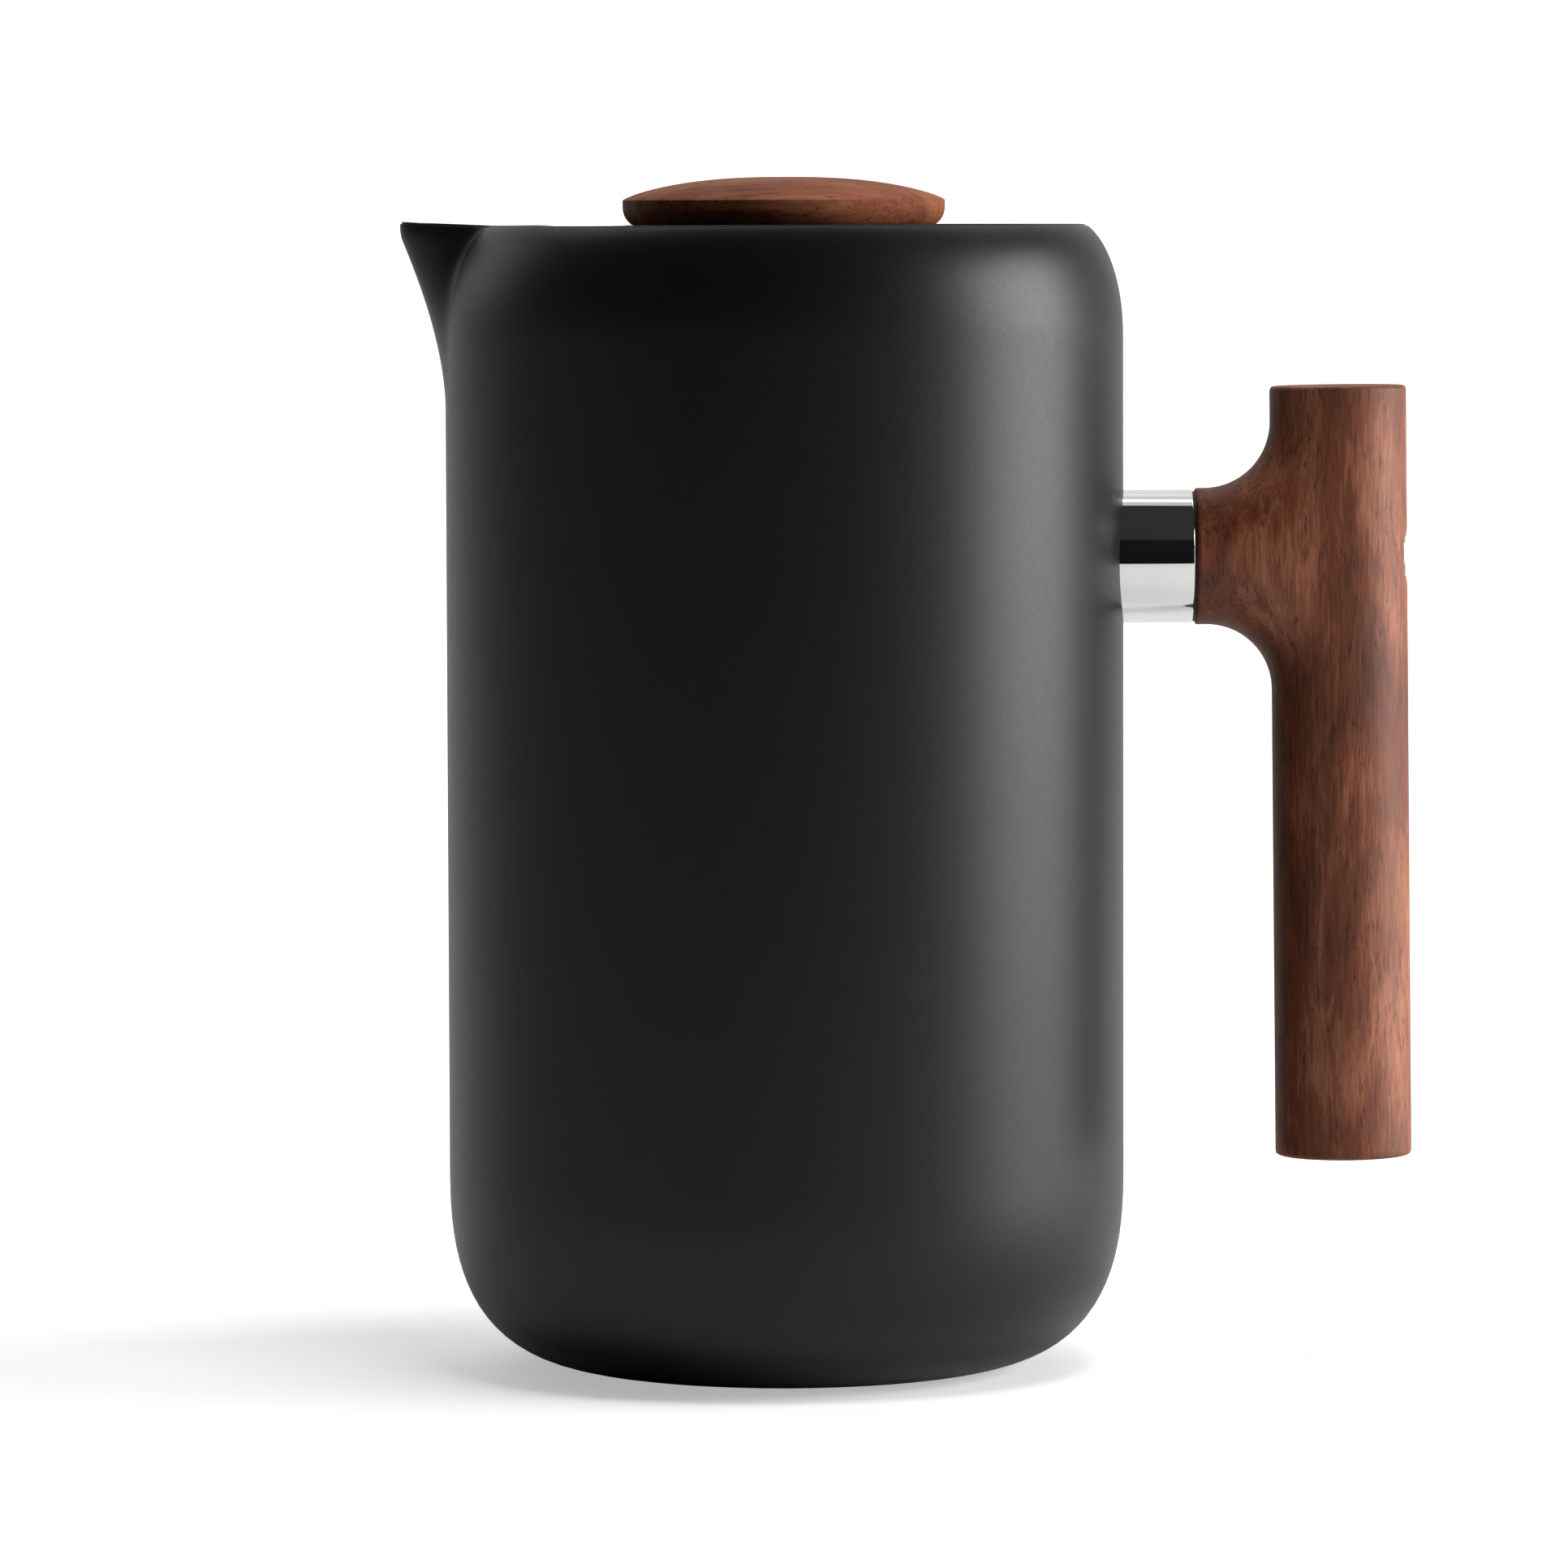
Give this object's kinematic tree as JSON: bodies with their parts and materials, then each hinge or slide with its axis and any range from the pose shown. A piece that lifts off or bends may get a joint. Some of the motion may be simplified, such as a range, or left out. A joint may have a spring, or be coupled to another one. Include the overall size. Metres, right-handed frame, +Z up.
{
  "type": "french press",
  "caption": "Double-walled steel coffee press with a pinched spout, a wooden T handle on a polished collar, and a lift-out lid with a sliding filter plunger and wooden knob.",
  "frame": {"origin": "centre of the base pad's lower face, on the pot's axis", "axes": "+Z up along the pot's axis, +X towards the handle, -X towards the spout"},
  "size_m": [0.1525, 0.102, 0.1795],
  "materials": {
    "black_coat": "matte powder coat",
    "lid_coat": "matte powder coat",
    "liner_steel": "electropolished",
    "base_steel": "as rolled",
    "seal_glass": "fused bead",
    "getter_metal": "matte",
    "pad_silicone": "matte",
    "boss_steel": "turned",
    "polished_steel": "polished",
    "gasket": "matte",
    "walnut": "oiled, satin",
    "knob_walnut": "oiled, satin",
    "screw_steel": "turned",
    "black_plastic": "moulded, fine texture",
    "silicone": "moulded",
    "plate_steel": "stamped",
    "guide_steel": "turned",
    "rod_steel": "ground and polished",
    "mesh_steel": "woven",
    "insert_brass": "turned"
  },
  "bodies": {
    "pot": {"outer_shell": "black_coat", "inner_liner": "liner_steel", "base_plate": "base_steel", "seal_bead": "seal_glass", "getter": "getter_metal", "base_pad": "pad_silicone", "handle_boss": "boss_steel", "handle_collar": "polished_steel", "collar_gasket": "gasket", "handle_grip": "walnut", "handle_screw": "screw_steel", "screw_washer": "screw_steel", "grip_dowel_1": "screw_steel", "grip_dowel_2": "screw_steel"},
    "lid": {"lid_cover": "lid_coat", "lid_frame": "black_plastic", "lid_gasket": "silicone", "lid_strainer": "plate_steel", "strainer_screw_1": "screw_steel", "strainer_screw_2": "screw_steel", "strainer_screw_3": "screw_steel", "rod_guide": "guide_steel", "guide_nut": "screw_steel"},
    "plunger": {"knob": "knob_walnut", "knob_insert": "insert_brass", "plunger_rod": "rod_steel", "rod_collar": "guide_steel", "top_plate": "plate_steel", "filter_mesh": "mesh_steel", "filter_wiper": "silicone", "cross_plate": "plate_steel", "filter_nut": "screw_steel"}
  },
  "joints": [
    {"name": "lid_lift", "type": "slide", "parent": "pot", "child": "lid", "axis": [0, 0, 1], "range_m": [0, 0.165]},
    {"name": "plunger_slide", "type": "slide", "parent": "lid", "child": "plunger", "axis": [0, 0, 1], "range_m": [0, 0.1075]}
  ]
}
